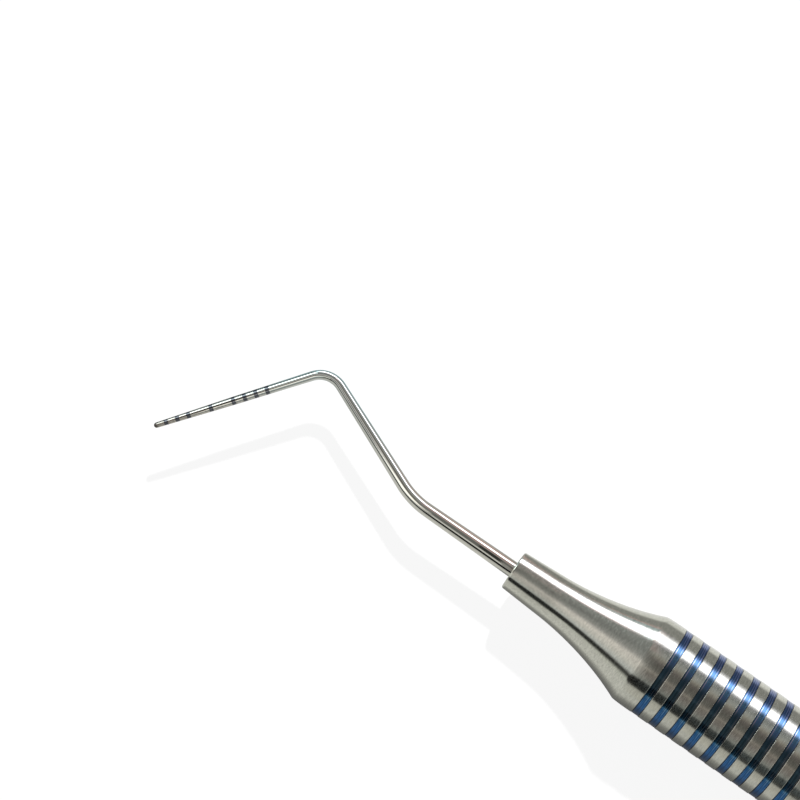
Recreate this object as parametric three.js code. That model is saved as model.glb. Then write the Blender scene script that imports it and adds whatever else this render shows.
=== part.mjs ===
// Periodontal probe: a round, tapered measuring tip with eight depth marks, on a twice-bent
// shank that is fixed in a hollow, ring-grooved handle. Lengths are in millimetres.
// The instrument lies on its handle on the plane z = 0, with the plane of the bends level.
// +X runs along the handle from the tip to the tail, and the first bend stands out to +Y.

import * as THREE from 'three';

// Handle.
const handleRadius = 4.1;
const handleLength = 133;
const boreRadius = 3.4;

// Ring grooves, in one group behind the nose and a mirrored group in front of the tail cap.
const ringsPerGroup = 12;
const ringPitch = 1.65;
const grooveWidth = 0.7;
const grooveDepth = 0.2;
const bandRecess = 0.03;

// Nose cone: a slim collar, a flare and a rounded shoulder up to the handle's radius.
const noseLength = 14.53;
const noseTipRadius = 1.76;
const noseRimFillet = 0.18;
const collarLength = 3.92;
const collarRadius = 1.98;
const flareEnd = 12.32;
const flareRadius = 3.9;
const flareSlope = 0.42;
const flareInReach = 2.2;
const flareOutReach = 3;
const shoulderRounding = 0.6;

// Tail cap: a convex taper down to a flat end. The lead and the drop steer how the taper's
// curve leaves the straight part and how it arrives at the end's fillet.
const tailLength = 9;
const tailTaperStart = 1.6;
const tailTaperLead = 3;
const tailEndDrop = 1.1;
const tailEndReach = 1.05;
const tailEndRadius = 2.4;
const tailEndFillet = 0.35;
const tailEndAngle = 0.3;

// Spigots that join nose and tail cap to the tube.
const spigotLength = 7;
const spigotChamfer = 0.3;
const fitGap = 0.02;

// Shank and tip, as one bar that is turned straight and then bent in one plane.
// Distances are measured between the corners where the straight stretches would meet.
const noseToSecondBend = 10.23;
const betweenBends = 12.9;
const firstBendToTip = 15.7;
const secondBendTurn = THREE.MathUtils.degToRad(23);
const firstBendTurn = THREE.MathUtils.degToRad(74.9);
const secondBendRadius = 7.4;
const firstBendRadius = 2.15;
const tangLength = 14;
const tangRadius = 0.7;
const tangTaperLength = 1;
const tangBoreRadius = 0.76;
const tipRadius = 0.235;

// Radius of the bar at distances from the very end of the tip.
const barTaper = [
  { fromTip: tipRadius, radius: tipRadius },
  { fromTip: 7, radius: 0.355 },
  { fromTip: 17, radius: 0.445 },
  { fromTip: 38, radius: 0.7 },
];

// One more station on the stretch between the bends, where the taper changes.
const straightStation = 20;

// Depth marks, in millimetres from the end of the tip. The middle of a mark stands a little
// beyond its whole millimetre.
const markDepths = [1, 2, 3, 5, 7, 8, 9, 10];
const markOffset = 0.1;
const markWidth = 0.35;
const markGrooveDepth = 0.07;
const markGap = 0.012;

// Number of flat sides that stand for a round surface.
const handleSides = 24;
const barSides = 16;

// Number of steps that stand for a curve of an outline or of the centre line.
const filletSteps = 3;
const flareSteps = 8;
const tailTaperSteps = 7;
const secondBendSteps = 4;
const firstBendSteps = 9;
const tipSteps = 4;

// Materials.
function satinSteel() {
  return new THREE.MeshStandardMaterial({ color: 0xb9b6ac, metalness: 1, roughness: 0.32 });
}

function polishedSteel() {
  return new THREE.MeshStandardMaterial({ color: 0xc9c8c4, metalness: 1, roughness: 0.12 });
}

function blueCoating() {
  return new THREE.MeshStandardMaterial({ color: 0x2a6fd0, metalness: 1, roughness: 0.25 });
}

function blackFill() {
  return new THREE.MeshStandardMaterial({ color: 0x2b2e36, metalness: 0, roughness: 0.35 });
}

// A solid of revolution about the X axis. The outline is a list of Vector2(radius, x) that goes
// along the outside towards +X, and either starts and ends on the axis or closes on itself.
// Each radius is that of the flats, so that the flats of neighbouring pieces stay parallel.
function turned(name, outline, material) {
  const cornerScale = 1 / Math.cos(Math.PI / handleSides);
  const points = outline.map((point) => new THREE.Vector2(point.x * cornerScale, point.y));
  const geometry = new THREE.LatheGeometry(points, handleSides, Math.PI / handleSides);
  const mesh = new THREE.Mesh(geometry, material);
  mesh.name = name;
  mesh.rotation.z = -Math.PI / 2;
  return mesh;
}

// Points of an arc in an outline, both ends included. Angles are measured from the radial
// direction towards +X.
function arc(centreRadius, centreX, radius, from, to, steps) {
  const points = [];
  for (let i = 0; i <= steps; i += 1) {
    const angle = THREE.MathUtils.lerp(from, to, i / steps);
    const along = centreX + radius * Math.sin(angle);
    points.push(new THREE.Vector2(centreRadius + radius * Math.cos(angle), along));
  }
  return points;
}

// The centre line of the bar, walked from the nose towards the tip: straight stretches and arcs.
function tangentLength(radius, turn) {
  return radius * Math.tan(turn / 2);
}

const secondTangent = tangentLength(secondBendRadius, secondBendTurn);
const firstTangent = tangentLength(firstBendRadius, firstBendTurn);

const walk = [
  { length: noseToSecondBend - secondTangent, turn: 0 },
  { length: secondBendRadius * secondBendTurn, turn: -secondBendTurn },
  { length: betweenBends - secondTangent - firstTangent, turn: 0 },
  { length: firstBendRadius * firstBendTurn, turn: firstBendTurn },
  { length: firstBendToTip - firstTangent, turn: 0 },
];

const barLength = walk.reduce((sum, stretch) => sum + stretch.length, 0);

// Place and heading on the centre line at a distance from the nose face. A negative distance is
// inside the nose.
function centreLine(distance) {
  let x = 0;
  let y = 0;
  let heading = Math.PI;
  let remaining = distance;
  for (const [index, stretch] of walk.entries()) {
    const last = index === walk.length - 1;
    const step = last ? remaining : Math.min(remaining, stretch.length);
    const turn = stretch.turn * step / stretch.length;
    const chord = turn === 0 ? step : 2 * step / turn * Math.sin(turn / 2);
    x += chord * Math.cos(heading + turn / 2);
    y += chord * Math.sin(heading + turn / 2);
    heading += turn;
    remaining -= step;
    if (remaining <= 0) {
      break;
    }
  }
  return { x, y, heading };
}

// Radius of the bar at a distance from the nose face.
function barRadius(distance) {
  const fromTip = barLength - distance;
  const next = barTaper.findIndex((station) => station.fromTip >= fromTip);
  if (next === 0) {
    return tipRadius;
  }
  const upper = next < 0 ? barTaper.length - 1 : next;
  const low = barTaper[upper - 1];
  const high = barTaper[upper];
  const share = Math.min((fromTip - low.fromTip) / (high.fromTip - low.fromTip), 1);
  return THREE.MathUtils.lerp(low.radius, high.radius, share);
}

// A solid turned straight about the bar's centre line and then bent along it. The outline is a
// list of Vector2(radius, distance from the nose face), in the order that `turned` asks for.
function bent(name, outline, material) {
  const cornerScale = 1 / Math.cos(Math.PI / barSides);
  const points = outline.map((point) => new THREE.Vector2(point.x * cornerScale, point.y));
  const geometry = new THREE.LatheGeometry(points, barSides, Math.PI / barSides);
  const position = geometry.attributes.position;
  for (let i = 0; i < position.count; i += 1) {
    const side = position.getX(i);
    const up = position.getZ(i);
    const { x, y, heading } = centreLine(position.getY(i));
    position.setXYZ(i, x + side * Math.sin(heading), y - side * Math.cos(heading), up);
  }
  geometry.computeVertexNormals();
  const mesh = new THREE.Mesh(geometry, material);
  mesh.name = name;
  return mesh;
}

// Stations along one bend, ends included.
function bendStations(start, length, steps) {
  const stations = [];
  for (let i = 0; i <= steps; i += 1) {
    stations.push(start + length * i / steps);
  }
  return stations;
}

// Distance of a mark's middle from the nose face.
function markMiddle(depth) {
  return barLength - depth - markOffset;
}

function workingEnd() {
  const outline = [new THREE.Vector2(0, -tangLength)];
  outline.push(new THREE.Vector2(tangRadius, -tangLength));
  outline.push(new THREE.Vector2(tangRadius, -tangTaperLength));
  outline.push(new THREE.Vector2(barRadius(0), 0));

  const secondBendStart = walk[0].length;
  const firstBendStart = secondBendStart + walk[1].length + walk[2].length;
  const stations = [
    ...bendStations(secondBendStart, walk[1].length, secondBendSteps),
    barLength - straightStation,
    ...bendStations(firstBendStart, walk[3].length, firstBendSteps),
  ];
  for (const distance of stations) {
    outline.push(new THREE.Vector2(barRadius(distance), distance));
  }

  // The grooves of the depth marks, from the deepest mark down to the tip.
  for (const depth of [...markDepths].reverse()) {
    const start = markMiddle(depth) - markWidth / 2;
    const end = start + markWidth;
    outline.push(new THREE.Vector2(barRadius(start), start));
    outline.push(new THREE.Vector2(barRadius(start) - markGrooveDepth, start));
    outline.push(new THREE.Vector2(barRadius(end) - markGrooveDepth, end));
    outline.push(new THREE.Vector2(barRadius(end), end));
  }

  // The rounded end of the tip.
  for (let i = 0; i <= tipSteps; i += 1) {
    const angle = Math.PI / 2 * i / tipSteps;
    const radius = i === tipSteps ? 0 : tipRadius * Math.cos(angle);
    outline.push(new THREE.Vector2(radius, barLength - tipRadius * (1 - Math.sin(angle))));
  }
  return bent('working_end', outline, polishedSteel());
}

// The black fill of one depth mark, level with the bar's surface.
function depthMark(depth) {
  const start = markMiddle(depth) - markWidth / 2 + markGap;
  const end = markMiddle(depth) + markWidth / 2 - markGap;
  const floor = markGrooveDepth - markGap;
  const outline = [
    new THREE.Vector2(barRadius(start) - floor, start),
    new THREE.Vector2(barRadius(start), start),
    new THREE.Vector2(barRadius(end), end),
    new THREE.Vector2(barRadius(end) - floor, end),
    new THREE.Vector2(barRadius(start) - floor, start),
  ];
  return bent(`depth_mark_${String(depth).padStart(2, '0')}_mm`, outline, blackFill());
}

function noseCone() {
  const spigotRadius = boreRadius - fitGap;
  const spigotEnd = noseLength + spigotLength;
  const collarSlope = (collarRadius - noseTipRadius) / (collarLength - noseRimFillet);
  const flare = new THREE.CubicBezierCurve(
    new THREE.Vector2(collarRadius, collarLength),
    new THREE.Vector2(collarRadius + flareInReach * collarSlope, collarLength + flareInReach),
    new THREE.Vector2(flareRadius - flareOutReach * flareSlope, flareEnd - flareOutReach),
    new THREE.Vector2(flareRadius, flareEnd),
  );

  // The flare runs on straight until it meets the shoulder's rounding.
  const shoulderAngle = Math.atan(flareSlope);
  const shoulderCentre = handleRadius - shoulderRounding;
  const shoulderFoot = shoulderCentre + shoulderRounding * Math.cos(shoulderAngle);
  const shoulderStart = flareEnd + (shoulderFoot - flareRadius) / flareSlope;
  const shoulderMiddle = shoulderStart + shoulderRounding * Math.sin(shoulderAngle);
  const rimCentre = noseTipRadius - noseRimFillet;
  const outline = [
    new THREE.Vector2(tangBoreRadius, 0),
    ...arc(rimCentre, noseRimFillet, noseRimFillet, -Math.PI / 2, 0, filletSteps),
    ...flare.getPoints(flareSteps),
    ...arc(shoulderCentre, shoulderMiddle, shoulderRounding, -shoulderAngle, 0, filletSteps),
    new THREE.Vector2(handleRadius, noseLength),
    new THREE.Vector2(spigotRadius, noseLength),
    new THREE.Vector2(spigotRadius, spigotEnd - spigotChamfer),
    new THREE.Vector2(spigotRadius - spigotChamfer, spigotEnd),
    new THREE.Vector2(tangBoreRadius, spigotEnd),
    new THREE.Vector2(tangBoreRadius, 0),
  ];
  return turned('nose_cone', outline, satinSteel());
}

// Where the grooves start: the front group, then the rear group.
const tubeStart = noseLength;
const tubeEnd = handleLength - tailLength;
const grooveStarts = [];
for (let i = 0; i < ringsPerGroup; i += 1) {
  grooveStarts.push(tubeStart + i * ringPitch);
}
for (let i = ringsPerGroup - 1; i >= 0; i -= 1) {
  grooveStarts.push(tubeEnd - grooveWidth - i * ringPitch);
}

// The tube. Its first and last grooves are open towards the nose and the tail cap, so that the
// two joints are hidden under blue bands.
function handleTube() {
  const floorRadius = handleRadius - grooveDepth;
  const front = tubeStart + fitGap;
  const back = tubeEnd - fitGap;
  const outline = [new THREE.Vector2(boreRadius, front)];
  for (const [index, start] of grooveStarts.entries()) {
    const end = start + grooveWidth;
    if (index > 0) {
      outline.push(new THREE.Vector2(handleRadius, start));
    }
    outline.push(new THREE.Vector2(floorRadius, Math.max(start, front)));
    outline.push(new THREE.Vector2(floorRadius, Math.min(end, back)));
    if (index < grooveStarts.length - 1) {
      outline.push(new THREE.Vector2(handleRadius, end));
    }
  }
  outline.push(new THREE.Vector2(boreRadius, back));
  outline.push(new THREE.Vector2(boreRadius, front));
  return turned('handle_tube', outline, satinSteel());
}

// One blue band, seated in its groove a little below the lands beside it.
function blueBand(index) {
  const start = grooveStarts[index] + fitGap;
  const end = grooveStarts[index] + grooveWidth - fitGap;
  const inner = handleRadius - grooveDepth + fitGap;
  const outer = handleRadius - bandRecess;
  const outline = [
    new THREE.Vector2(inner, start),
    new THREE.Vector2(outer, start),
    new THREE.Vector2(outer, end),
    new THREE.Vector2(inner, end),
    new THREE.Vector2(inner, start),
  ];
  return turned(`blue_band_${String(index + 1).padStart(2, '0')}`, outline, blueCoating());
}

function tailCap() {
  const spigotRadius = boreRadius - fitGap;
  const spigotStart = tubeEnd - spigotLength;
  const taperStart = tubeEnd + tailTaperStart;
  const taperEnd = handleLength - tailEndFillet;
  const taper = new THREE.CubicBezierCurve(
    new THREE.Vector2(handleRadius, taperStart),
    new THREE.Vector2(handleRadius, taperStart + tailTaperLead),
    new THREE.Vector2(tailEndRadius + tailEndDrop, taperEnd - tailEndReach),
    new THREE.Vector2(tailEndRadius, taperEnd),
  );
  const endCentre = tailEndRadius - tailEndFillet;
  const outline = [
    new THREE.Vector2(0, spigotStart),
    new THREE.Vector2(spigotRadius - spigotChamfer, spigotStart),
    new THREE.Vector2(spigotRadius, spigotStart + spigotChamfer),
    new THREE.Vector2(spigotRadius, tubeEnd),
    new THREE.Vector2(handleRadius, tubeEnd),
    ...taper.getPoints(tailTaperSteps),
    ...arc(endCentre, taperEnd, tailEndFillet, tailEndAngle, Math.PI / 2, filletSteps),
    new THREE.Vector2(0, handleLength),
  ];
  return turned('tail_cap', outline, satinSteel());
}

// Everything is built about the handle's axis, with x = 0 at the nose face, and then moved so
// that the origin is on the supporting surface, under the middle of the instrument's box.
const instrument = new THREE.Group();
instrument.add(workingEnd());
for (const depth of markDepths) {
  instrument.add(depthMark(depth));
}
instrument.add(noseCone());
instrument.add(handleTube());
for (let index = 0; index < grooveStarts.length; index += 1) {
  instrument.add(blueBand(index));
}
instrument.add(tailCap());

const box = new THREE.Box3().setFromObject(instrument);
const middle = box.getCenter(new THREE.Vector3());
instrument.position.set(-middle.x, -middle.y, -box.min.z);

const probe = new THREE.Group();
probe.name = 'periodontal_probe';
probe.add(instrument);

export default probe;
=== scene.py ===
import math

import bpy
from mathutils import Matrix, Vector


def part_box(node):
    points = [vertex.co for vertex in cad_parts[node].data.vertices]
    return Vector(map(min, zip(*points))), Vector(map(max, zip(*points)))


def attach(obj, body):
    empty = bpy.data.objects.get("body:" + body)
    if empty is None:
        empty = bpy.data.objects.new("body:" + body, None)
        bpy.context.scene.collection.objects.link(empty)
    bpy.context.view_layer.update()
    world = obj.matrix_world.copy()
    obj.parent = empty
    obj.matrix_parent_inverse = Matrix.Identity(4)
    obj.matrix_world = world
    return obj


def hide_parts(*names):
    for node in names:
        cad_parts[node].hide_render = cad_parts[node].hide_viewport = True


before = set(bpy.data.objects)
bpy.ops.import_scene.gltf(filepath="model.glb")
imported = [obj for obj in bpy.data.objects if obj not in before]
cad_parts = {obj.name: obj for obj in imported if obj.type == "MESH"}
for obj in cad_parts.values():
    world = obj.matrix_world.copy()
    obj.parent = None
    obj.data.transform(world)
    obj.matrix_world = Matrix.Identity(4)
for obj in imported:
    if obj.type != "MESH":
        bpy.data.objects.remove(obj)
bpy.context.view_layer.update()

# Looks of the periodontal probe: polished bent bar, dark depth marks, satin turned handle
# parts and bright blue bands, on a pale floor under soft studio light.
# Profiles are in millimetres, like the part's drawing. Meshes are made in metres.

MM = 0.001

# ------------------------------------------------------------------------------------------
# Places read from the frame. Boxes are in metres, the rest is in millimetres.
# ------------------------------------------------------------------------------------------

TUBE_LOW, TUBE_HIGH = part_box("handle_tube")
NOSE_LOW, NOSE_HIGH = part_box("nose_cone")
TAIL_LOW, TAIL_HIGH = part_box("tail_cap")
AXIS_Y = (TUBE_LOW.y + TUBE_HIGH.y) / 2 / MM
AXIS_Z = (TUBE_LOW.z + TUBE_HIGH.z) / 2 / MM
NOSE_FACE = NOSE_LOW.x / MM
HANDLE_RADIUS = (TUBE_HIGH.z - TUBE_LOW.z) / 2 / MM
HANDLE_LENGTH = (TAIL_HIGH.x - NOSE_LOW.x) / MM

# ------------------------------------------------------------------------------------------
# Drawing dimensions, in millimetres. x is measured from the nose face towards the tail.
# ------------------------------------------------------------------------------------------

BORE_RADIUS = 3.4
GROOVE_DEPTH = 0.2
FIT_GAP = 0.02
LAND_EDGE_BREAK = 0.035
BAND_EDGE_BREAK = 0.02

NOSE_TIP_RADIUS = 1.76
NOSE_RIM_FILLET = 0.18
NOSE_HOLE_RADIUS = 0.76
NOSE_HOLE_EDGE_BREAK = 0.05
COLLAR_LENGTH = 3.92
COLLAR_RADIUS = 1.98
FLARE_END = 12.32
FLARE_RADIUS = 3.9
FLARE_SLOPE = 0.42
FLARE_IN_REACH = 2.2
FLARE_OUT_REACH = 3.0
SHOULDER_ROUNDING = 0.6
SHOULDER_DROP = 0.045                     # of the rounding's top below the handle's radius
SHOULDER_RUN_OUT = math.radians(5)        # slope that the shoulder still has behind its rounding
SHOULDER_RUN_OUT_REACH = 0.5
SHOULDER_LEVEL_REACH = 0.5
SHOULDER_LEVEL_LENGTH = 0.2               # the nose's last stretch, level with the handle

TAIL_TAPER_START = 1.6
TAIL_TAPER_REACH = 4.6
TAIL_END_RADIUS = 2.4
TAIL_END_REACH = (1.1, 1.05)              # of the taper's curve at the end: outwards, and back
TAIL_END_FILLET = 0.35
TAIL_END_FILLET_START = 0.3               # radians from the radial direction

NOSE_TO_SECOND_BEND = 10.23
BETWEEN_BENDS = 12.9
FIRST_BEND_TO_TIP = 15.7
SECOND_BEND_TURN = math.radians(23)
FIRST_BEND_TURN = math.radians(74.9)
SECOND_BEND_RADIUS = 7.4
FIRST_BEND_RADIUS = 2.15
TIP_RADIUS = 0.235
BAR_CLEARANCE = 0.004                     # keeps the round bar inside the CAD's box
BAR_TAPER = ((TIP_RADIUS, TIP_RADIUS), (7, 0.355), (17, 0.445), (38, 0.7))
MARK_DEPTHS = (1, 2, 3, 5, 7, 8, 9, 10)
MARK_OFFSET = 0.1
MARK_WIDTH = 0.35
MARK_GROOVE_DEPTH = 0.07
MARK_GAP = 0.006                          # between a mark and its groove
MARK_WALL_LEAN = 0.0001
TANG_RADIUS = 0.7
TANG_STRAIGHT_END = 1.0                   # behind the nose face

SUPPORT = 0.012                           # distance of a shading support from an edge
LONGEST_STEP = 0.8                        # along an outline
LONGEST_TUBE_STEP = 1.5
ROUND_SEGMENTS = 128
BAR_SEGMENTS = 64
BAR_STATIONS = 300
STATION_MARGIN = 0.02                     # between a station of the bar and a mark's groove
SAME_PLACE = 1e-9
SHARP_ANGLE = math.radians(40)


# ------------------------------------------------------------------------------------------
# Outline helpers. An outline is a list of (radius, x) that goes along the outside towards +x.
# ------------------------------------------------------------------------------------------

def arc(centre_radius, centre_x, radius, start, end, steps):
    """Points of an arc. Angles are measured from the radial direction towards +x."""
    points = []
    for i in range(steps + 1):
        angle = start + (end - start) * i / steps
        out = centre_radius + radius * math.cos(angle)
        points.append((out, centre_x + radius * math.sin(angle)))
    return points


def bezier(p0, p1, p2, p3, steps):
    """Points of a cubic curve between p0 and p3."""
    points = []
    for i in range(steps + 1):
        t = i / steps
        weights = ((1 - t) ** 3, 3 * (1 - t) ** 2 * t, 3 * (1 - t) * t * t, t ** 3)
        weighted = list(zip(weights, (p0, p1, p2, p3)))
        points.append(tuple(sum(weight * p[k] for weight, p in weighted) for k in (0, 1)))
    return points


def densify(outline, longest):
    """Adds points so that no step of the outline is longer than `longest`, and a point near
    both ends of every long step, so that its shading stays flat up to the edge."""
    points = [outline[0]]
    for a, b in zip(outline, outline[1:]):
        length = math.dist(a, b)
        steps = max(1, math.ceil(length / longest))
        shares = {i / steps for i in range(1, steps + 1)}
        if length > 10 * SUPPORT:
            shares |= {SUPPORT / length, 1 - SUPPORT / length}
        for share in sorted(shares):
            points.append(tuple(a[k] + (b[k] - a[k]) * share for k in (0, 1)))
    return points


# ------------------------------------------------------------------------------------------
# The bar's centre line and radius
# ------------------------------------------------------------------------------------------

SECOND_TANGENT = SECOND_BEND_RADIUS * math.tan(SECOND_BEND_TURN / 2)
FIRST_TANGENT = FIRST_BEND_RADIUS * math.tan(FIRST_BEND_TURN / 2)
WALK = (
    (NOSE_TO_SECOND_BEND - SECOND_TANGENT, 0),
    (SECOND_BEND_RADIUS * SECOND_BEND_TURN, -SECOND_BEND_TURN),
    (BETWEEN_BENDS - SECOND_TANGENT - FIRST_TANGENT, 0),
    (FIRST_BEND_RADIUS * FIRST_BEND_TURN, FIRST_BEND_TURN),
    (FIRST_BEND_TO_TIP - FIRST_TANGENT, 0),
)
BAR_LENGTH = sum(length for length, turn in WALK)
TIP_TURN = FIRST_BEND_TURN - SECOND_BEND_TURN             # of the tip from the handle's axis
TIP_X, TIP_Y = math.cos(TIP_TURN), math.sin(TIP_TURN)     # direction from the tip to its bend


def centre_line(distance):
    """Place and heading at a distance from the nose face, towards the tip."""
    x, y, heading, remaining = 0.0, 0.0, math.pi, distance
    for index, (length, whole_turn) in enumerate(WALK):
        step = remaining if index == len(WALK) - 1 else min(remaining, length)
        turn = whole_turn * step / length
        chord = step if turn == 0 else 2 * step / turn * math.sin(turn / 2)
        x += chord * math.cos(heading + turn / 2)
        y += chord * math.sin(heading + turn / 2)
        heading += turn
        remaining -= step
        if remaining <= 0:
            break
    return x, y, heading


def bar_radius(distance):
    """Radius of the bar at a distance from the nose face."""
    from_tip = BAR_LENGTH - distance
    for (d0, r0), (d1, r1) in zip(BAR_TAPER, BAR_TAPER[1:]):
        if from_tip <= d1:
            share = max(0.0, (from_tip - d0) / (d1 - d0))
            return r0 + (r1 - r0) * share - BAR_CLEARANCE
    return BAR_TAPER[-1][1] - BAR_CLEARANCE


# ------------------------------------------------------------------------------------------
# Meshes
# ------------------------------------------------------------------------------------------

def skin(name, outline, segments, place):
    """A surface of revolution as a mesh. place(x, side, up) gives a point in the frame, in mm.
    U of its UV map is the distance along a bent piece, or the way along the outline of a
    straight one, in mm. V goes once round."""
    vertices, rings, along = [], [], [0.0]
    for a, b in zip(outline, outline[1:]):
        along.append(along[-1] + math.dist(a, b))
    if place is bent:
        along = [x for radius, x in outline]
    closed = math.dist(outline[0], outline[-1]) < SAME_PLACE
    for radius, x in outline[:-1] if closed else outline:
        if radius < SAME_PLACE:
            rings.append([len(vertices)])
            vertices.append(place(x, 0, 0))
            continue
        rings.append(list(range(len(vertices), len(vertices) + segments)))
        for j in range(segments):
            angle = 2 * math.pi * j / segments
            vertices.append(place(x, radius * math.sin(angle), radius * math.cos(angle)))
    if closed:
        rings.append(rings[0])
    faces, uvs = [], []
    for i, (a, b) in enumerate(zip(rings, rings[1:])):
        for j in range(segments):
            k = (j + 1) % segments
            u0, u1, v0, v1 = along[i], along[i + 1], j / segments, (j + 1) / segments
            if len(a) == 1 and len(b) == 1:
                continue
            if len(a) == 1:
                faces.append((a[0], b[j], b[k]))
                uvs.append(((u0, (v0 + v1) / 2), (u1, v0), (u1, v1)))
            elif len(b) == 1:
                faces.append((a[j], b[0], a[k]))
                uvs.append(((u0, v0), (u1, (v0 + v1) / 2), (u0, v1)))
            else:
                faces.append((a[j], b[j], b[k], a[k]))
                uvs.append(((u0, v0), (u1, v0), (u1, v1), (u0, v1)))
    mesh = bpy.data.meshes.new(name)
    mesh.from_pydata([Vector(v) * MM for v in vertices], [], faces)
    layer = mesh.uv_layers.new(name="Turned")
    layer.data.foreach_set("uv", [c for face in uvs for uv in face for c in uv])
    mesh.polygons.foreach_set("use_smooth", [True] * len(mesh.polygons))
    mesh.set_sharp_from_angle(angle=SHARP_ANGLE)
    mesh.validate()
    piece = bpy.data.objects.new(name, mesh)
    bpy.context.scene.collection.objects.link(piece)
    return piece


def straight(x, side, up):
    """A point of a piece on the handle's axis."""
    return NOSE_FACE + x, AXIS_Y + side, AXIS_Z + up


def bent(distance, side, up):
    """A point of a piece on the bar's centre line."""
    x, y, heading = centre_line(distance)
    across = side * math.sin(heading), -side * math.cos(heading)
    return NOSE_FACE + x + across[0], AXIS_Y + y + across[1], AXIS_Z + up


def turned(name, outline, material, node):
    """A turned piece of the handle that stands for a CAD node."""
    piece = skin(name, outline, ROUND_SEGMENTS, straight)
    piece.data.flip_normals()
    return finish_piece(piece, material, node)


def finish_piece(piece, material, node):
    """Gives a piece its material, hides the CAD node that it stands for, and hangs it on the root
    body.
    """
    piece.data.materials.append(material)
    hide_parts(node)
    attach(piece, "root")
    return piece


# ------------------------------------------------------------------------------------------
# Materials
# ------------------------------------------------------------------------------------------

NOISE_RANGE = (0.3, 0.7)                  # nearly all of the noise lies between these


class Nodes:
    """Short names for the nodes of one material or world."""

    def __init__(self, owner):
        owner.use_nodes = True
        self.owner = owner
        self.tree = owner.node_tree
        self.shader = self.tree.nodes.get("Principled BSDF")

    def node(self, kind, **settings):
        made = self.tree.nodes.new(kind)
        for key, value in settings.items():
            setattr(made, key, value)
        return made

    def link(self, source, target):
        """Feeds an input from a socket, or sets it to a plain value."""
        if isinstance(source, bpy.types.NodeSocket):
            self.tree.links.new(source, target)
        else:
            target.default_value = source

    def value(self, operation, *items):
        made = self.node("ShaderNodeMath", operation=operation)
        for item, socket in zip(items, made.inputs):
            self.link(item, socket)
        return made.outputs[0]

    def fade(self, source, start, end, low, high, smooth=True):
        """Goes from low to high while the source goes from start to end."""
        kind = "SMOOTHSTEP" if smooth else "LINEAR"
        made = self.node("ShaderNodeMapRange", interpolation_type=kind)
        names = ("Value", "From Min", "From Max", "To Min", "To Max")
        for name, item in zip(names, (source, start, end, low, high)):
            self.link(item, made.inputs[name])
        return made.outputs["Result"]

    def mix(self, kind, factor, a, b, blend="MIX"):
        """Goes from a to b while the factor goes from 0 to 1."""
        made = self.node("ShaderNodeMix", data_type=kind, blend_type=blend)
        for name, item in zip(("Factor", "A", "B"), (factor, a, b)):
            self.link(item, made.inputs[name])
        return made.outputs["Result"]

    def tones(self, source, stops):
        """A colour that follows the stops (position, colour)."""
        made = self.node("ShaderNodeValToRGB")
        elements = made.color_ramp.elements
        while len(elements) < len(stops):
            elements.new(1.0)
        for element, (position, colour) in zip(elements, stops):
            element.position = position
            element.color = (*colour, 1)
        self.link(source, made.inputs["Fac"])
        return made.outputs["Color"]

    def separate(self, vector):
        split = self.node("ShaderNodeSeparateXYZ")
        self.link(vector, split.inputs[0])
        return split.outputs["X"], split.outputs["Y"], split.outputs["Z"]

    def turned_coordinates(self):
        """Outputs U (mm along the outline) and V (turns round it)."""
        return self.separate(self.node("ShaderNodeUVMap", uv_map="Turned").outputs["UV"])[:2]

    def noise(self, place, scale, seed, detail):
        made = self.node("ShaderNodeTexNoise", noise_dimensions="4D")
        for name, item in zip(("Vector", "W", "Scale", "Detail"), (place, seed, scale, detail)):
            self.link(item, made.inputs[name])
        return made.outputs["Fac"]

    def streaks(self, along, round_about, lines_per_mm, arcs_per_turn, seed, detail=2.0):
        """Noise drawn out round the axis, as a turning tool or a brush leaves it."""
        join = self.node("ShaderNodeCombineXYZ")
        angle = self.value("MULTIPLY", round_about, 2 * math.pi)
        ring = arcs_per_turn / (2 * math.pi)
        self.link(self.value("MULTIPLY", along, lines_per_mm), join.inputs[0])
        self.link(self.value("MULTIPLY", self.value("COSINE", angle), ring), join.inputs[1])
        self.link(self.value("MULTIPLY", self.value("SINE", angle), ring), join.inputs[2])
        return self.noise(join.outputs[0], 1.0, seed, detail)

    def blotches(self, scale, seed, detail=3.0):
        """Even noise in the piece's own space, for handling marks and tone."""
        return self.noise(self.node("ShaderNodeTexCoord").outputs["Object"], scale, seed, detail)

    def spread(self, fac, low, high):
        """Maps noise, which stays near its middle, to the range low to high."""
        return self.fade(fac, *NOISE_RANGE, low, high, smooth=False)

    def tinted(self, colour, brightness):
        """colour times a brightness that varies."""
        return self.mix("RGBA", 1.0, colour, brightness, blend="MULTIPLY")

    def bump(self, height, distance):
        made = self.node("ShaderNodeBump")
        made.inputs["Distance"].default_value = distance
        self.link(height, made.inputs["Height"])
        return made.outputs["Normal"]

    def set(self, **inputs):
        for key, value in inputs.items():
            self.link(value, self.shader.inputs[key.replace("_", " ")])

    def brushed_round(self, anisotropy):
        """The finish is rougher along the axis than round it."""
        tangent = self.node("ShaderNodeTangent", direction_type="UV_MAP", uv_map="Turned")
        self.link(tangent.outputs[0], self.shader.inputs["Tangent"])
        self.shader.inputs["Anisotropic"].default_value = anisotropy


# Base colours
STEEL = (0.55, 0.552, 0.475, 1)
POLISHED = (0.60, 0.60, 0.55, 1)
BLUE = (0.024, 0.105, 0.22, 1)
WORN_BLUE = (0.14, 0.27, 0.4, 1)
MARK = (0.125, 0.13, 0.14, 1)
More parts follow.
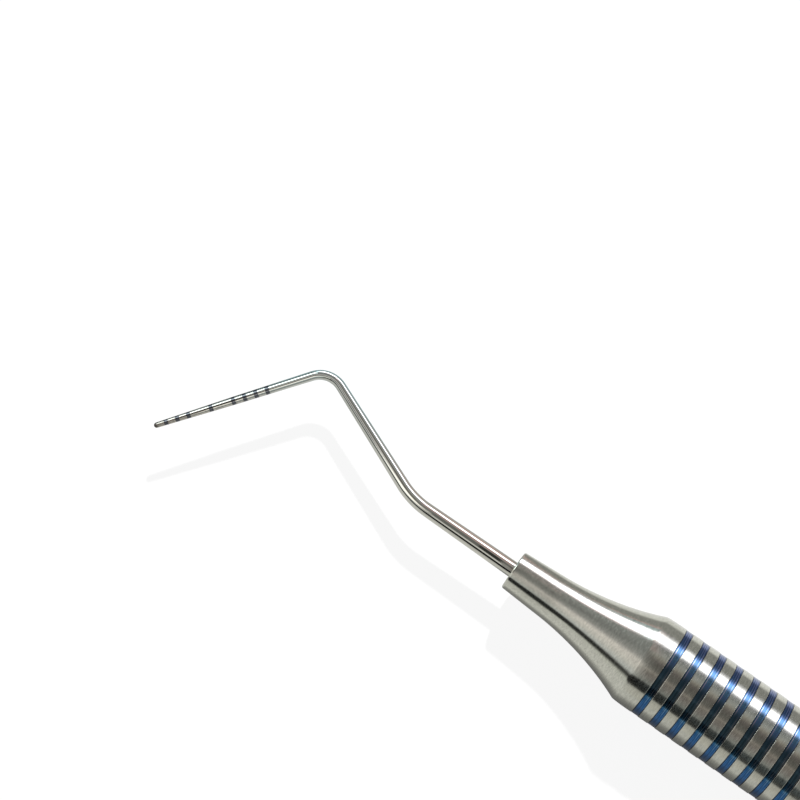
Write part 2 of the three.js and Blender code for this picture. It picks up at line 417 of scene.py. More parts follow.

# Painted highlight and shade round the bands: the blue film's colour is multiplied by these tones, by
# the turn from the top towards +Y, brightest where the lamp is reflected.
BAND_PAINTED_LIGHT = (
    (0, (2.3, 1.08, 0.74)), (0.018, (2.3, 1.1, 0.76)), (0.032, (2.1, 0.95, 0.74)),
    (0.05, (2.3, 0.96, 0.88)), (0.066, (4.2, 1.95, 1.4)), (0.083, (2.9, 1.3, 0.98)),
    (0.1, (2.0, 1.15, 1.0)), (0.124, (1.8, 1.0, 1.05)), (0.15, (1.25, 0.76, 0.95)),
    (0.25, (1.35, 0.8, 1.0)), (0.5, (1.0, 0.9, 1.0)), (0.88, (0.7, 0.82, 1.03)),
    (0.9, (0.75, 0.82, 0.98)), (0.917, (1.9, 1.7, 1.5)), (0.932, (2.0, 1.0, 0.75)),
    (0.952, (1.15, 0.56, 0.36)), (0.97, (1.4, 0.7, 0.43)), (1, (2.3, 1.08, 0.74)),
)

# A band's outer face, in mm along its outline: its middle, and how far from there the painted shade
# of the groove walls starts and is darkest
BAND_FACE_MIDDLE = 0.47
BAND_EDGE_SHADE_START = 0.23
BAND_EDGE_SHADE_FULL = 0.32

# Painted shade and tint of the working end, by the distance from the end of the tip, in millimetres:
# the rounded end is painted dark as its reflections are dark, and stretches of the bar are toned to
# follow their reflections.
TIP_PAINTED_SHADE = (
    (0.24, (0.20, 0.18, 0.17)), (0.42, (0.82, 0.76, 0.71)), (2, (0.84, 0.78, 0.72)),
    (3.5, (0.98, 0.94, 0.89)), (7.5, (0.99, 0.97, 0.94)), (10.5, (0.95, 0.98, 0.97)),
    (14.5, (0.94, 0.97, 0.97)), (19, (0.91, 0.93, 0.92)), (32, (0.97, 0.96, 0.92)),
)
GROUND_FROM_TIP = (11.5, 9.5)             # the tip's fine grinding starts between these distances


def satin_steel():
    """Turned and brushed, with fine lines round the axis."""
    m = Nodes(bpy.data.materials.new("satin_steel"))
    along, turn = m.turned_coordinates()
    fine = m.streaks(along, turn, 10, 56, 1.0)
    coarse = m.streaks(along, turn, 3, 4, 2.0, detail=1.0)
    tone = m.blotches(180, 3.0)
    brightness = m.value("MULTIPLY", m.spread(fine, 0.86, 1.13), m.spread(coarse, 0.98, 1.02))
    brightness = m.value("MULTIPLY", brightness, m.spread(tone, 0.97, 1.02))
    height = m.value("MULTIPLY_ADD", coarse, 1.5, fine)
    m.set(Base_Color=m.tinted(STEEL, brightness), Metallic=1.0)
    wear = m.value("MULTIPLY_ADD", fine, 0.6, m.value("MULTIPLY", tone, 0.4))
    m.set(Roughness=m.spread(wear, 0.14, 0.2))
    fine_bump = m.bump(height, 0.0000008)
    m.link(m.bump(m.blotches(700, 4.0, detail=1.0), 0.000006), fine_bump.node.inputs["Normal"])
    m.set(Normal=fine_bump)
    m.brushed_round(0.6)
    return m.owner


def polished_steel():
    """Bright on the shank, and finely ground on the measuring tip, with painted shade and tint along
    the working end.
    """
    m = Nodes(bpy.data.materials.new("polished_steel"))
    along, turn = m.turned_coordinates()
    fine = m.streaks(along, turn, 9, 4, 5.0)
    tone = m.blotches(420, 6.0)
    ground = m.fade(along, *(BAR_LENGTH - distance for distance in GROUND_FROM_TIP), 0, 1)
    from_tip = m.fade(along, BAR_LENGTH, 0, 0, 1, smooth=False)
    # painted shade and tint along the working end
    stops = [(distance / BAR_LENGTH, colour) for distance, colour in TIP_PAINTED_SHADE]
    colour = m.tinted(POLISHED, m.tones(from_tip, stops))
    swing = m.value("MULTIPLY_ADD", ground, 0.09, 0.02)
    brightness = m.value("SUBTRACT", 1.0, m.value("MULTIPLY", swing, m.spread(fine, -1, 2)))
    m.set(Base_Color=m.tinted(colour, brightness), Metallic=1.0)
    rough = m.value("MULTIPLY_ADD", ground, 0.04, 0.06)
    m.set(Roughness=m.value("ADD", rough, m.spread(tone, -0.02, 0.03)))
    height = m.value("MULTIPLY", fine, m.value("ADD", ground, 0.08))
    m.set(Normal=m.bump(height, 0.000004))
    m.brushed_round(0.3)
    return m.owner


def blue_band():
    """A blue metallic film, rubbed paler along some of its turned lines, with painted highlight and
    shade round the band and painted shade at its edges.
    """
    m = Nodes(bpy.data.materials.new("blue_band"))
    along, turn = m.turned_coordinates()
    fine = m.streaks(along, turn, 9, 5, 8.0)
    tone = m.blotches(300, 9.0)
    brightness = m.value("MULTIPLY", m.spread(fine, 0.7, 1.3), m.spread(tone, 0.92, 1.06))
    ridges = m.fade(m.streaks(along, turn, 15, 7, 13.0), 0.54, 0.61, 0, 1)
    # painted shade at the band's edges, beside the groove walls
    off_middle = m.value("ABSOLUTE", m.value("SUBTRACT", along, BAND_FACE_MIDDLE))
    rim = m.fade(off_middle, BAND_EDGE_SHADE_START, BAND_EDGE_SHADE_FULL, 1, 0.3)
    film = m.mix("RGBA", ridges, m.tinted(BLUE, brightness), WORN_BLUE)
    film = m.tinted(film, rim)
    # painted highlight and shade round the band
    m.set(Base_Color=m.tinted(film, m.tones(turn, BAND_PAINTED_LIGHT)), Metallic=1.0)
    m.set(Roughness=m.spread(fine, 0.12, 0.2))
    m.set(Normal=m.bump(fine, 0.0000008))
    m.set(Coat_Weight=0.13, Coat_Roughness=0.1)
    m.brushed_round(0.6)
    return m.owner


def dark_mark():
    """The black fill of a depth mark."""
    m = Nodes(bpy.data.materials.new("dark_mark"))
    along, turn = m.turned_coordinates()
    fine = m.streaks(along, turn, 12, 7, 11.0)
    tone = m.blotches(900, 12.0)
    brightness = m.value("MULTIPLY", m.spread(fine, 0.8, 1.2), m.spread(tone, 0.85, 1.15))
    m.set(Base_Color=m.tinted(MARK, brightness), Metallic=1.0)
    m.set(Roughness=m.spread(tone, 0.1, 0.2))
    m.set(Normal=m.bump(fine, 0.000002))
    return m.owner


# ------------------------------------------------------------------------------------------
# The object
# ------------------------------------------------------------------------------------------

SATIN = satin_steel()
POLISH = polished_steel()
BLUE_METAL = blue_band()
MARK_METAL = dark_mark()


def land_edge(x, side):
    """The broken edge of a land, from the groove's wall (side -1) or to it (side 1)."""
    radius = HANDLE_RADIUS - LAND_EDGE_BREAK
    if side < 0:
        return arc(radius, x + LAND_EDGE_BREAK, LAND_EDGE_BREAK, -math.pi / 2, 0, 3)
    return arc(radius, x - LAND_EDGE_BREAK, LAND_EDGE_BREAK, 0, math.pi / 2, 3)


def make_nose():
    length = TUBE_LOW.x / MM - NOSE_FACE - FIT_GAP
    spigot = BORE_RADIUS - FIT_GAP
    spigot_end = NOSE_HIGH.x / MM - NOSE_FACE
    collar_slope = (COLLAR_RADIUS - NOSE_TIP_RADIUS) / (COLLAR_LENGTH - NOSE_RIM_FILLET)
    angle = math.atan(FLARE_SLOPE)
    middle_radius = HANDLE_RADIUS - SHOULDER_DROP - SHOULDER_ROUNDING
    foot = middle_radius + SHOULDER_ROUNDING * math.cos(angle)
    foot_x = FLARE_END + (foot - FLARE_RADIUS) / FLARE_SLOPE
    middle_x = foot_x + SHOULDER_ROUNDING * math.sin(angle)
    flare = bezier(
        (COLLAR_RADIUS, COLLAR_LENGTH),
        (COLLAR_RADIUS + FLARE_IN_REACH * collar_slope, COLLAR_LENGTH + FLARE_IN_REACH),
        (FLARE_RADIUS - FLARE_OUT_REACH * FLARE_SLOPE, FLARE_END - FLARE_OUT_REACH),
        (FLARE_RADIUS, FLARE_END), 60)
    shoulder = arc(middle_radius, middle_x, SHOULDER_ROUNDING, -angle, -SHOULDER_RUN_OUT, 12)
    fillet = NOSE_RIM_FILLET
    rim = arc(NOSE_TIP_RADIUS - fillet, fillet, fillet, -math.pi / 2, 0, 10)
    fillet = NOSE_HOLE_EDGE_BREAK
    hole = arc(NOSE_HOLE_RADIUS + fillet, fillet, fillet, math.pi, 1.5 * math.pi, 4)
    end_out, end_x = shoulder[-1]
    run_out_end = end_out + SHOULDER_RUN_OUT_REACH * math.tan(SHOULDER_RUN_OUT)
    level = length - SHOULDER_LEVEL_LENGTH
    outline = [
        *hole,
        *rim,
        *flare,
        *shoulder[:-1],
        *bezier(
            shoulder[-1],
            (run_out_end, end_x + SHOULDER_RUN_OUT_REACH),
            (HANDLE_RADIUS, level - SHOULDER_LEVEL_REACH),
            (HANDLE_RADIUS, level), 12),
        *land_edge(length, 1),
        (spigot, length),
        (spigot, spigot_end),
        (NOSE_HOLE_RADIUS, spigot_end),
        hole[0],
    ]
    turned("nose", densify(outline, LONGEST_STEP), SATIN, "nose_cone")


BANDS = sorted(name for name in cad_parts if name.startswith("blue_band_"))


def groove_of(node):
    """A band's groove: the x of its two walls."""
    low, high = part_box(node)
    return low.x / MM - NOSE_FACE - FIT_GAP, high.x / MM - NOSE_FACE + FIT_GAP


def make_tube():
    front = TUBE_LOW.x / MM - NOSE_FACE
    back = TUBE_HIGH.x / MM - NOSE_FACE
    floor = HANDLE_RADIUS - GROOVE_DEPTH
    outline = [(BORE_RADIUS, front)]
    for index, node in enumerate(BANDS):
        start, end = groove_of(node)
        if index > 0:
            outline += land_edge(start, 1)
        outline += [(floor, max(start, front)), (floor, min(end, back))]
        if index < len(BANDS) - 1:
            outline += land_edge(end, -1)
    outline += [(BORE_RADIUS, back), (BORE_RADIUS, front)]
    turned("tube", densify(outline, LONGEST_TUBE_STEP), SATIN, "handle_tube")


def make_band(node):
    low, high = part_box(node)
    start, end = low.x / MM - NOSE_FACE, high.x / MM - NOSE_FACE
    outer = (high.z - low.z) / 2 / MM
    inner = HANDLE_RADIUS - GROOVE_DEPTH + FIT_GAP
    edge = BAND_EDGE_BREAK
    outline = [
        (inner, start),
        *arc(outer - edge, start + edge, edge, -math.pi / 2, 0, 2),
        *arc(outer - edge, end - edge, edge, 0, math.pi / 2, 2),
        (inner, end),
        (inner, start),
    ]
    name = node.replace("blue_band", "band")
    turned(name, densify(outline, LONGEST_STEP), BLUE_METAL, node)


def make_tail():
    start = TUBE_HIGH.x / MM - NOSE_FACE + FIT_GAP
    spigot_start = TAIL_LOW.x / MM - NOSE_FACE
    spigot = BORE_RADIUS - FIT_GAP
    taper_end = HANDLE_LENGTH - TAIL_END_FILLET
    outwards, back = TAIL_END_REACH
    taper = bezier(
        (HANDLE_RADIUS, start + TAIL_TAPER_START),
        (HANDLE_RADIUS, start + TAIL_TAPER_REACH),
        (TAIL_END_RADIUS + outwards, taper_end - back),
        (TAIL_END_RADIUS, taper_end), 40)
    fillet_middle = TAIL_END_RADIUS - TAIL_END_FILLET
    outline = [
        (0, spigot_start),
        (spigot, spigot_start),
        (spigot, start),
        *land_edge(start, -1),
        *taper,
        *arc(fillet_middle, taper_end, TAIL_END_FILLET, TAIL_END_FILLET_START, math.pi / 2, 8),
        (0, HANDLE_LENGTH),
    ]
    turned("tail", densify(outline, LONGEST_STEP), SATIN, "tail_cap")


def mark_span(depth):
    """Both ends of a mark's groove, as distances from the nose face."""
    middle = BAR_LENGTH - depth - MARK_OFFSET
    return middle - MARK_WIDTH / 2, middle + MARK_WIDTH / 2


def mark_groove(start, end):
    """The outline of a mark's groove. Its walls lean a little, so that its points stay in order."""
    high, far_high = bar_radius(start), bar_radius(end)
    return [
        (high, start),
        (high - MARK_GROOVE_DEPTH, start + MARK_WALL_LEAN),
        (far_high - MARK_GROOVE_DEPTH, end - MARK_WALL_LEAN),
        (far_high, end),
    ]


def make_bar():
    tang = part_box("working_end")[1].x / MM - NOSE_FACE
    spans = sorted(mark_span(depth) for depth in MARK_DEPTHS)
    tip_start = BAR_LENGTH - TIP_RADIUS
    surface = []
    for i in range(BAR_STATIONS + 1):
        distance = BAR_LENGTH * i / BAR_STATIONS
        by_groove = any(a - STATION_MARGIN < distance < b + STATION_MARGIN for a, b in spans)
        if distance <= tip_start and not by_groove:
            surface.append((bar_radius(distance), distance))
    for start, end in spans:
        surface += mark_groove(start, end)
    outline = [
        (0, -tang),
        (TANG_RADIUS, -tang),
        (TANG_RADIUS, -TANG_STRAIGHT_END),
        *sorted(surface, key=lambda point: point[1]),
        *arc(0, tip_start, TIP_RADIUS - BAR_CLEARANCE, 0, math.pi / 2, 12)[:-1],
        (0, BAR_LENGTH - BAR_CLEARANCE),
    ]
    bar = skin("working_bar", outline, BAR_SEGMENTS, bent)
    finish_piece(bar, POLISH, "working_end")


def make_mark(depth):
    groove_start, groove_end = mark_span(depth)
    start, end = groove_start + MARK_GAP, groove_end - MARK_GAP
    thickness = MARK_GROOVE_DEPTH - 2 * MARK_GAP
    outline = [
        (bar_radius(start) - thickness, start),
        (bar_radius(start), start),
        (bar_radius(end), end),
        (bar_radius(end) - thickness, end),
        (bar_radius(start) - thickness, start),
    ]
    mark = skin(f"mark_{depth:02d}_mm", outline, BAR_SEGMENTS, bent)
    finish_piece(mark, MARK_METAL, f"depth_mark_{depth:02d}_mm")


make_bar()
for depth in MARK_DEPTHS:
    make_mark(depth)
make_nose()
make_tube()
for node in BANDS:
    make_band(node)
make_tail()


# ------------------------------------------------------------------------------------------
# Floor
# ------------------------------------------------------------------------------------------

FLOOR_HALF = 3.0                          # in metres
PAPER = 0.8
SHEET_GLOW = 1.125                        # brightness of the sheet's own even light
SHEET_GLOW_SHARE = 0.8                    # of that light in what the camera sees of the floor
COOL = (0.74, 1.0, 1.1, 1)
WARM = (1.3, 1.0, 1.0, 1)

# What reflections show of the sheet, with painted shade beside the handle and under the measuring
# tip. Each row is (place where the change starts, place where it ends, value before it, value
# after it), with places in mm from the nose face on the axis.
NEAR_SHEET_EDGE = (9, 17, 20, 29)         # by x: how far out it stops brightening, near side
NEAR_SHEET_START = 4
NEAR_SHEET_LOW = (0, 14, 0.29, 0.165)     # by x: brightness beside the handle
NEAR_SHEET_HIGH = (7, 20, 0.80, 0.68)     # by x: brightness further out
FAR_SHEET = (-2.2, 2.2, 0.95, 0.37)       # by the distance past its edge
FAR_SHEET_EDGE = (0.59, 5.25, 11.4)       # its edge in y: slope along x, y at the nose face, limit
SIDES = (-1, 1)                           # by y: from the near side to the far side
BY_BAR = (0, 3, 0.80, 0.55)               # by y
BY_TIP = (18.5, 22.5, 0.55, 0.18)         # across the measuring tip
TIP_REACH = (-18.5, -13.5, 1, 0)          # along the measuring tip
TIP_SIDE = (9, 13, 0, 1)                  # across the measuring tip
BAR_TO_HANDLE = (-3, 0)                   # by x
COOL_REACH = (-19, -8, 1, 0)              # by x
COOL_SIDE = (1, 4, 0, 1)                  # by y
WARM_START = (-11, -8, 0, 1)              # by x
WARM_END = (-2, 0, 1, 0)                  # by x
WARM_SIDE = (6, 13, 0, 1)                 # by y


def add_reflected_sheet(f):
    """The sheet as reflections show it: a glowing sheet with painted shade. It dims towards the
    handle on the near side, where the handle's shade is painted, and ends early on the far side."""
    place_x, place_y, _ = f.separate(f.node("ShaderNodeNewGeometry").outputs["Position"])
    x = f.value("MULTIPLY_ADD", place_x, 1 / MM, -NOSE_FACE)
    y = f.value("MULTIPLY_ADD", place_y, 1 / MM, -AXIS_Y)
    outside = f.fade(x, *NEAR_SHEET_EDGE)
    low = f.fade(x, *NEAR_SHEET_LOW)
    high = f.fade(x, *NEAR_SHEET_HIGH)
    near_side = f.fade(f.value("ABSOLUTE", y), NEAR_SHEET_START, outside, low, high)
    slope, edge_at_nose, farthest_edge = FAR_SHEET_EDGE
    edge = f.value("MINIMUM", f.value("MULTIPLY_ADD", x, slope, edge_at_nose), farthest_edge)
    far_side = f.fade(f.value("SUBTRACT", y, edge), *FAR_SHEET)
    by_handle = f.fade(y, *SIDES, near_side, far_side)

    # painted shadow of the measuring tip on the reflected sheet
    along_tip = f.value("MULTIPLY_ADD", x, TIP_X, f.value("MULTIPLY", y, TIP_Y))
    across_tip = f.value("MULTIPLY_ADD", x, -TIP_Y, f.value("MULTIPLY", y, TIP_X))
    painted_tip_shadow = f.value("MULTIPLY", f.fade(along_tip, *TIP_REACH), f.fade(across_tip, *TIP_SIDE))
    by_bar = f.mix("FLOAT", painted_tip_shadow, f.fade(y, *BY_BAR), f.fade(across_tip, *BY_TIP))

    # painted reflection colour: the sheet is tinted cooler beyond the measuring tip's bend, and
    # warmer beyond the shank
    cool = f.value("MULTIPLY", f.fade(x, *COOL_REACH), f.fade(y, *COOL_SIDE))
    warm = f.value("MULTIPLY", f.fade(x, *WARM_START), f.fade(x, *WARM_END))
    warm = f.value("MULTIPLY", warm, f.fade(y, *WARM_SIDE))
    colour = f.mix("RGBA", cool, (1, 1, 1, 1), COOL)
    reflected = f.node("ShaderNodeEmission")
    f.link(f.fade(x, *BAR_TO_HANDLE, by_bar, by_handle), reflected.inputs["Strength"])
    f.link(f.mix("RGBA", warm, colour, WARM), reflected.inputs["Color"])
    return reflected.outputs[0]


def pale_floor():
    """White paper with some light of its own for the camera, and in reflections a glowing patterned
    sheet with painted shade.
    """
    f = Nodes(bpy.data.materials.new("pale_floor"))
    f.tree.nodes.clear()
    paper = f.node("ShaderNodeBsdfDiffuse")
    paper.inputs["Color"].default_value = (PAPER, PAPER, PAPER, 1)
    glow = f.node("ShaderNodeEmission")
    glow.inputs["Strength"].default_value = SHEET_GLOW
    path = f.node("ShaderNodeLightPath")
    seen = f.node("ShaderNodeMixShader")
    f.link(f.value("MULTIPLY", path.outputs["Is Camera Ray"], SHEET_GLOW_SHARE), seen.inputs[0])
    f.link(paper.outputs[0], seen.inputs[1])
    f.link(glow.outputs[0], seen.inputs[2])
    whole = f.node("ShaderNodeMixShader")
    f.link(path.outputs["Is Glossy Ray"], whole.inputs[0])
    f.link(seen.outputs[0], whole.inputs[1])
    f.link(add_reflected_sheet(f), whole.inputs[2])
    f.link(whole.outputs[0], f.node("ShaderNodeOutputMaterial").inputs[0])
    return f.owner


def make_floor():
    mesh = bpy.data.meshes.new("floor")
    half = FLOOR_HALF
    corners = [(-half, -half, 0), (half, -half, 0), (half, half, 0), (-half, half, 0)]
    mesh.from_pydata(corners, [], [(0, 1, 2, 3)])
    mesh.materials.append(pale_floor())
    floor = bpy.data.objects.new("floor", mesh)
    bpy.context.scene.collection.objects.link(floor)


make_floor()


# ------------------------------------------------------------------------------------------
# Light
# ------------------------------------------------------------------------------------------

# Brightness of the studio round the handle's axis, by the angle in degrees from straight up
# towards +Y. The first list is what the nose sees, ahead of the instrument. The second is what
# the front of the handle sees, overhead. The third, above the handle's tail, is what the
# measuring tip and the rear of the handle see.
AHEAD = (
    (-180, 0.8), (-92, 0.81), (-80, 0.80), (-70, 0.77), (-35, 0.77), (-28, 0.81), (-15, 0.90),
    (-8, 0.93), (-3, 0.76), (1, 0.56), (6, 0.43), (12, 0.37), (21, 0.28), (28, 0.30), (40, 0.35),
    (49, 0.38), (52, 0.45), (55, 1.3), (58, 3), (63, 4.6), (74, 4.6), (78, 2.6), (81, 1.0),
    (85, 0.46), (90, 0.38), (180, 0.35),
)
BEHIND = (
    (-180, 0.68), (-92, 0.71), (-82, 0.67), (-76, 0.62), (-68, 0.57), (-41, 0.24), (-34, 0.22),
    (-28, 0.19), (-20, 0.155), (-14, 0.16), (-10.5, 0.30), (-7, 0.16), (-2, 0.125), (10, 0.13),
    (16, 0.15), (22, 0.27), (28, 0.42), (36, 0.47), (42, 0.36), (52, 0.35), (56, 0.55), (60, 2.2),
    (64, 4.3), (69, 5), (74, 4.4), (79, 2.3), (83, 1.1), (87, 0.58), (93, 0.44), (180, 0.40),
)
ABOVE_TAIL = (
    (-180, 0.55), (-104, 0.52), (-80, 0.38), (-60, 0.37), (-45, 0.52), (-34, 0.66), (-24, 0.60),
    (-16, 0.42), (-6, 0.22), (10, 0.14), (16, 0.16), (22, 0.28), (28, 0.41), (36, 0.45),
    (42, 0.36), (52, 0.34), (56, 0.55), (60, 1.8), (64, 3.6), (69, 4.6), (74, 3.9), (79, 2.3),
    (83, 1.1), (87, 0.58), (93, 0.44), (180, 0.40),
)
BRIGHTEST = 5

# Colour of that light, by the same angle
AHEAD_TINTS = (
    (-180, (1.0, 1, 1.0)), (-92, (1.02, 1, 1.03)), (-57, (0.98, 1, 0.97)), (-40, (0.97, 1, 1.05)),
    (-25, (1.03, 1, 1.0)), (-8, (1.065, 1, 1.01)), (8, (1.0, 1, 1.03)), (45, (0.96, 1, 1.03)),
    (54, (1.2, 1, 1.08)), (60, (1.0, 1, 1.15)), (79, (1.0, 1, 1.15)), (84, (1.15, 1, 1.04)),
    (90, (1.1, 1, 1.0)), (98, (0.98, 1, 1.0)), (180, (1.0, 1, 1.0)),
)
BEHIND_TINTS = (
    (-180, (1.0, 1, 1.0)), (-68, (1.02, 1, 0.96)), (-50, (0.82, 1, 1.12)), (-37, (0.97, 1, 1.0)),
    (-23, (1.12, 1, 1.0)), (-13, (1.13, 1, 0.94)), (0, (1.03, 1, 0.96)), (16, (1.13, 1, 0.99)),
    (24, (1.08, 1, 0.93)), (34, (0.97, 1, 1.02)), (46, (0.94, 1, 1.05)), (56, (1.0, 1, 1.15)),
    (80, (1.0, 1, 1.13)), (92, (1.0, 1, 1.08)), (100, (0.96, 1, 1.0)), (180, (1.0, 1, 1.0)),
)
SHANK_TINTS = (
    (-180, (1, 1, 1)), (28, (1.0, 1, 1.0)), (37, (1.55, 1, 1.02)), (50, (1.35, 1, 1.06)),
    (58, (1.05, 1, 1.1)), (72, (1.05, 1, 1.1)), (84, (1.3, 1, 1.0)), (92, (1.4, 1, 1.0)),
    (110, (1.3, 1, 1.0)), (180, (1, 1, 1)),
)

# How the studio changes with x of the direction, from -1 straight ahead to 1 behind the tail.
# Each row is (x where the change starts, x where it ends, value before it, value after it).
NARROWING = (-1, 0, 0.82, 1)
AHEAD_TO_BEHIND = (-0.2, 0.03, 0, 1)
BEHIND_TO_TAIL = (0.125, 0.265, 0, 1)
LAMP_END = (-0.78, -0.62, 0.22, BRIGHTEST)
FLAG_MIDDLE = (-0.25, 0.05, math.radians(51.2), math.radians(52.8))
FLAG_HALF_WIDTH = (-0.7, 0.05, math.radians(6), math.radians(12.5))
FLAG_SOFTNESS = (-0.6, 0, 0.1, 0.025)
FLAG_BRIGHTNESS = 0.03
FRONT_WALL = (-0.9, -0.82, 1.3, 0)
COOL_AHEAD = (-0.7, -0.5, 1, 0)
COOL_LAMP = (0.8, 1.0, 0, 1)              # by the angle, in radians

# Just ahead of straight up: the shank sees the studio round x = -0.07, and the nose's front sees
# it round x = -0.15. Their rows go by the distance in x from there.
SHANK_X = -0.07
SHANK_REACH = (0.02, 0.045, 0, 1)
SHANK_LAMP_RISE = 0.06                    # share of its angle by which the lamp stands higher
SHANK_FLAG_GROWTH = math.radians(2)
NOSE_FRONT_X = -0.15
NOSE_FRONT_LAMP_DROP = (0.03, 0.06, 0.055, 0)

KEY_DIRECTION = (-1.33, 4.44, 4.1)        # from the object, so that the shadow falls near the handle
KEY_RADIANCE = 0.71                       # of a white sheet under the key alone
KEY_SPREAD = math.radians(2)
AMBIENT = 0.18                            # brightness that matt surfaces see all round
BACKDROP = 0.97                           # brightness that the camera sees past the floor


def add_round_axis(w, place, stops):
    """Brightness that follows the stops (degrees, brightness)."""
    made = w.node("ShaderNodeFloatCurve")
    points = made.mapping.curves[0].points
    while len(points) < len(stops):
        points.new(0.5, 0.5)
    for point, (degrees, brightness) in zip(points, stops):
        point.location = ((degrees + 180) / 360, brightness / BRIGHTEST)
        point.handle_type = "VECTOR"
    made.mapping.use_clip = False
    made.mapping.update()
    w.link(place, made.inputs["Value"])
    return w.value("MULTIPLY", made.outputs[0], BRIGHTEST)


def add_tints(w, place, stops):
    """A colour that follows the stops (degrees, colour)."""
    return w.tones(place, [((degrees + 180) / 360, colour) for degrees, colour in stops])


def distance_from(w, x, middle):
    """How far x is from the middle, on either side."""
    return w.value("ABSOLUTE", w.value("SUBTRACT", x, middle))


def make_world():
    """The studio as reflections show it, an even light for matt surfaces, and a pale backdrop."""
    world = bpy.data.worlds.new("studio")
    bpy.context.scene.world = world
    w = Nodes(world)
    w.tree.nodes.clear()
    x, y, z = w.separate(w.node("ShaderNodeTexCoord").outputs["Generated"])

    # ahead of the instrument the studio closes up towards the horizon
    narrowing = w.fade(x, *NARROWING, smooth=False)
    angle = w.value("MULTIPLY", w.value("ARCTAN2", y, z), narrowing)
    # the lamp stands higher for the shank, and lower for the nose's front
    off_shank = w.fade(distance_from(w, x, SHANK_X), *SHANK_REACH)
    by_shank = w.value("SUBTRACT", 1, off_shank)
    rise = w.value("MULTIPLY", by_shank, SHANK_LAMP_RISE)
    drop = w.fade(distance_from(w, x, NOSE_FRONT_X), *NOSE_FRONT_LAMP_DROP)
    shift = w.value("SUBTRACT", rise, drop)
    angle = w.value("ADD", angle, w.value("MULTIPLY", w.value("MAXIMUM", angle, 0), shift))
    place = w.fade(angle, -math.pi, math.pi, 0, 1, smooth=False)

    # the lamp ends before the horizon ahead
    ahead = w.value("MINIMUM", add_round_axis(w, place, AHEAD), w.fade(x, *LAMP_END))
    behind = w.fade(x, *AHEAD_TO_BEHIND)
    pattern = w.mix("FLOAT", behind, ahead, add_round_axis(w, place, BEHIND))
    tint = w.mix("RGBA", behind, add_tints(w, place, AHEAD_TINTS), add_tints(w, place, BEHIND_TINTS))
    tint = w.mix("RGBA", off_shank, add_tints(w, place, SHANK_TINTS), tint)
    cool = w.value("MULTIPLY", w.fade(x, *COOL_AHEAD), w.fade(angle, *COOL_LAMP))
    tint = w.mix("RGBA", cool, tint, COOL)

    # a black flag stands on the near side, and covers a little more for the shank
    growth = w.value("MULTIPLY", by_shank, SHANK_FLAG_GROWTH)
    middle = w.value("ADD", w.fade(x, *FLAG_MIDDLE, smooth=False), growth)
    half_width = w.value("ADD", w.fade(x, *FLAG_HALF_WIDTH, smooth=False), growth)
    softness = w.fade(x, *FLAG_SOFTNESS, smooth=False)
    off_middle = w.value("ABSOLUTE", w.value("ADD", angle, middle))
    off_flag = w.value("SUBTRACT", off_middle, half_width)
    flag = w.fade(off_flag, w.value("MULTIPLY", softness, -1), softness, FLAG_BRIGHTNESS, 1)
    pattern = w.value("MULTIPLY", pattern, flag)
    above_tail = add_round_axis(w, place, ABOVE_TAIL)
    pattern = w.mix("FLOAT", w.fade(x, *BEHIND_TO_TAIL), pattern, above_tail)
    # a pale wall straight ahead lights the front rims
    pattern = w.value("MAXIMUM", pattern, w.fade(x, *FRONT_WALL))

    path = w.node("ShaderNodeLightPath")
    glossy = path.outputs["Is Glossy Ray"]
    soft = w.mix("FLOAT", glossy, AMBIENT, pattern)
    strength = w.mix("FLOAT", path.outputs["Is Camera Ray"], soft, BACKDROP)
    background = w.node("ShaderNodeBackground")
    w.link(strength, background.inputs["Strength"])
    w.link(w.mix("RGBA", glossy, (1, 1, 1, 1), tint), background.inputs["Color"])
    w.link(background.outputs[0], w.node("ShaderNodeOutputWorld").inputs[0])


def make_key():
    """The far lamp that casts the faint shadow. Its reflection is left to the studio's pattern."""
    light = bpy.data.lights.new("key", "SUN")
    light.angle = KEY_SPREAD
    direction = Vector(KEY_DIRECTION).normalized()
    light.energy = KEY_RADIANCE * math.pi / direction.z
    key = bpy.data.objects.new("key", light)
    bpy.context.scene.collection.objects.link(key)
    key.location = direction
    key.rotation_mode = "QUATERNION"
    key.rotation_quaternion = direction.to_track_quat("Z", "Y")
    key.visible_glossy = False
    key.visible_camera = False


def make_card(name, seen_from, towards, distance, size, radiance, colour):
    """A card that only reflections show. Places are in mm from the nose face on the axis."""
    light = bpy.data.lights.new(name, "AREA")
    light.shape = "RECTANGLE"
    light.size, light.size_y = size[0] * MM, size[1] * MM
    light.color = colour
    light.energy = radiance * math.pi * light.size * light.size_y
    card = bpy.data.objects.new(name, light)
    bpy.context.scene.collection.objects.link(card)
    direction = Vector(towards).normalized()
    origin = Vector((NOSE_FACE, AXIS_Y, AXIS_Z)) + Vector(seen_from)
    card.location = (origin + direction * distance) * MM
    card.rotation_mode = "QUATERNION"
    card.rotation_quaternion = direction.to_track_quat("Z", "Y")
    card.visible_camera = False
    card.visible_diffuse = False


def make_panel(name, middle, half_along, half_across, turn, brightness):
    """A level panel that only reflections show. Places are in mm from the nose face on the axis."""
    mesh = bpy.data.meshes.new(name)
    along = Vector((math.cos(turn), math.sin(turn), 0)) * half_along
    across = Vector((-math.sin(turn), math.cos(turn), 0)) * half_across
    origin = Vector((NOSE_FACE, AXIS_Y, AXIS_Z)) + Vector(middle)
    near, far = origin - across, origin + across
    corners = [near - along, near + along, far + along, far - along]
    mesh.from_pydata([corner * MM for corner in corners], [], [(0, 1, 2, 3)])
    panel = bpy.data.objects.new(name, mesh)
    bpy.context.scene.collection.objects.link(panel)
    p = Nodes(bpy.data.materials.new(name))
    p.tree.nodes.clear()
    light = p.node("ShaderNodeEmission")
    light.inputs["Strength"].default_value = brightness
    p.link(light.outputs[0], p.node("ShaderNodeOutputMaterial").inputs[0])
    mesh.materials.append(p.owner)
    panel.visible_camera = False
    panel.visible_diffuse = False
    panel.visible_shadow = False


make_world()
make_key()
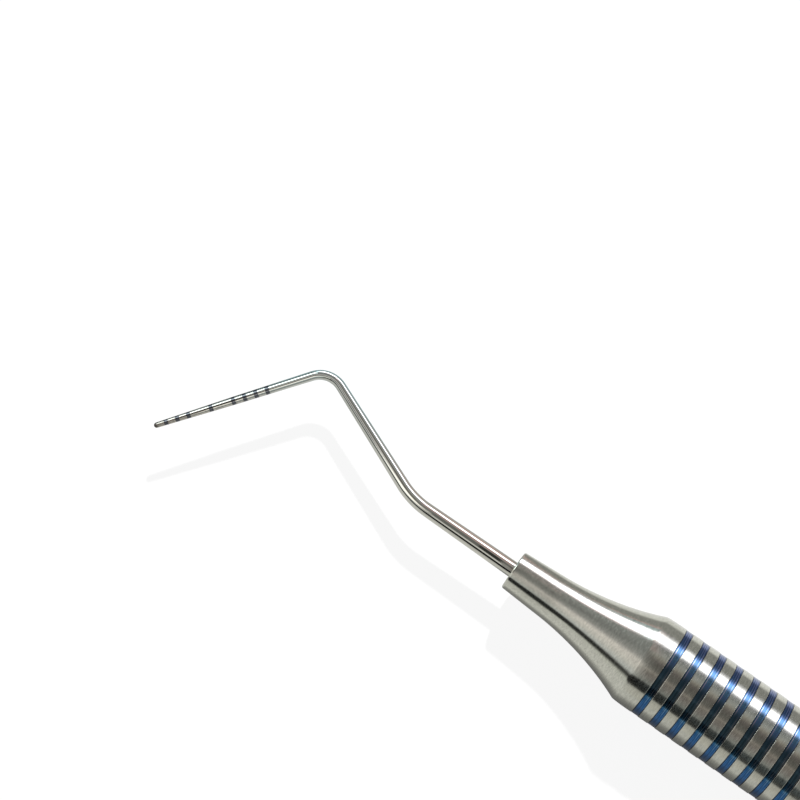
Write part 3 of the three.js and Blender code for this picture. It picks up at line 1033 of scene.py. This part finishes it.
# name, middle, half its length, half its width, turn from the handle's axis, brightness
make_panel("hood", (-34.9, -6.7, 39), 4.8, 10, TIP_TURN, 0.06)
make_panel("shank_shade", (-6.75, 0.6, 12), 2.55, 4.0, 0, 0.2)
make_panel("nose_shade", (-3.0, 0.6, 12), 1.2, 4.0, 0, 0.05)
make_panel("shank_strip", (-5.5, -6.9, 12), 3.8, 2.1, 0, 0.85)
# name, place that it shines on, direction from there, distance, size, radiance, colour
make_card("window", (-27, -1, 0), (-0.66, 0.37, 0.65), 40, (26, 15), 4.5, (0.88, 1.0, 1.05))
make_card("reflector", (-26.5, 0, 0), (0.36, -0.36, 0.86), 25, (15, 7), 1.1, (1.0, 1.0, 0.95))


# ------------------------------------------------------------------------------------------
# Camera
# ------------------------------------------------------------------------------------------

CAMERA_AIM = (-15.845, 6.278, 0.0)        # from the nose face on the axis, in mm
CAMERA_DISTANCE = 192.86                  # mm
CAMERA_ELEVATION = math.radians(83.893)
CAMERA_AZIMUTH = math.radians(-6.477)     # from +X towards +Y
CAMERA_ROLL = math.radians(34.55)         # of the handle's axis below the picture's horizontal
CAMERA_LENS = 103.5                       # mm, for the sensor's width below
CAMERA_SENSOR = 36.0
CAMERA_CLIP = (0.01, 20)                  # in metres


def make_camera():
    data = bpy.data.cameras.new("camera")
    data.sensor_width = CAMERA_SENSOR
    data.lens = CAMERA_LENS
    data.clip_start, data.clip_end = CAMERA_CLIP
    camera = bpy.data.objects.new("camera", data)
    bpy.context.scene.collection.objects.link(camera)
    back = Vector((
        math.cos(CAMERA_ELEVATION) * math.cos(CAMERA_AZIMUTH),
        math.cos(CAMERA_ELEVATION) * math.sin(CAMERA_AZIMUTH),
        math.sin(CAMERA_ELEVATION),
    ))
    handle = Vector((1, 0, 0))
    handle = (handle - handle.dot(back) * back).normalized()
    right = math.cos(CAMERA_ROLL) * handle + math.sin(CAMERA_ROLL) * back.cross(handle)
    up = back.cross(right)
    aim = Vector((NOSE_FACE, AXIS_Y, AXIS_Z)) + Vector(CAMERA_AIM)
    place = (aim + back * CAMERA_DISTANCE) * MM
    turn = Matrix((right, up, back)).transposed()
    camera.matrix_world = Matrix.Translation(place) @ turn.to_4x4()
    bpy.context.scene.camera = camera


make_camera()

scene = bpy.context.scene
scene.view_settings.view_transform = "Standard"
scene.view_settings.look = "None"
